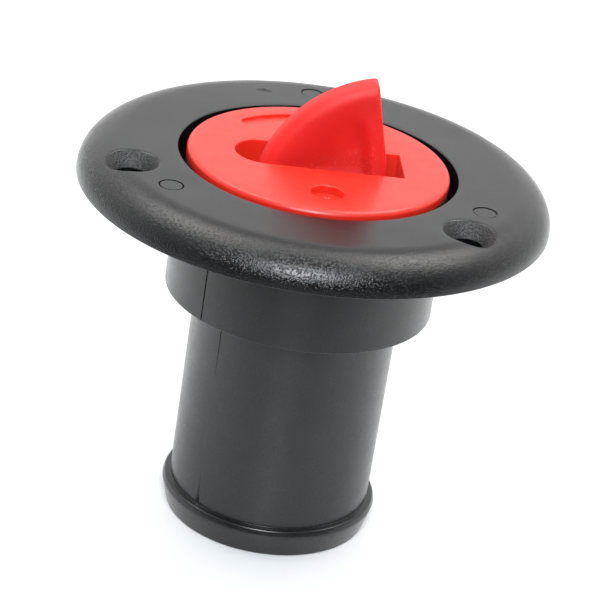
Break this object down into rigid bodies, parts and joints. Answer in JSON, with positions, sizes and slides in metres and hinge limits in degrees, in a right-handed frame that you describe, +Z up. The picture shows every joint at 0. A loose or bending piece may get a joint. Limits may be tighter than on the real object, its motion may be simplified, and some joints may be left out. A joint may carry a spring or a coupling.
{
  "type": "boat deck filler",
  "caption": "Round flush deck filler with a hose tail, a red screw cap and a fin handle that folds into the cap's slot.",
  "frame": {"origin": "centre of the hose tail's end face, the lowest face of the part", "axes": "+Z up the neck's axis towards the cap; -Y is the side of the gate dimple in the cap, seen from the front; +X to the right, the end the fin's straight edge faces"},
  "size_m": [0.088, 0.088, 0.0897],
  "materials": {
    "black_plastic": "fine spark-eroded satin, smoother on the collar and hose tail",
    "red_plastic": "semi-gloss moulded",
    "handle_plastic": "semi-gloss moulded, slightly translucent",
    "seal_rubber": "matt black",
    "stainless": "turned",
    "washer_nylon": "natural nylon",
    "swivel_plastic": "satin"
  },
  "bodies": {
    "housing": {"filler_body": "black_plastic"},
    "swivel": {"lanyard_swivel": "swivel_plastic"},
    "cap": {"cap_disc": "red_plastic", "cap_plug": "red_plastic", "cap_seal": "seal_rubber", "handle_pin": "stainless", "pin_clip": "stainless", "handle_washer_front": "washer_nylon", "handle_washer_rear": "washer_nylon", "lanyard_screw": "stainless"},
    "handle": {"handle": "handle_plastic"}
  },
  "joints": [
    {"name": "cap_lift", "type": "slide", "parent": "housing", "child": "swivel", "axis": [0, 0, 1], "range_m": [0, 0.01]},
    {"name": "cap_turn", "type": "hinge", "parent": "swivel", "child": "cap", "pos_m": [0, 0, 0.0736], "axis": [0, 0, 1], "range_deg": [0, 900]},
    {"name": "handle_fold", "type": "hinge", "parent": "cap", "child": "handle", "pos_m": [0.00859, 0.00109, 0.0684], "axis": [0.1253, -0.9921, 0], "range_deg": [-13.3, 76.7]}
  ],
  "couplings": [
    {"joint": "cap_lift", "follows": "cap_turn", "m_per_rad": 0.00063662}
  ]
}
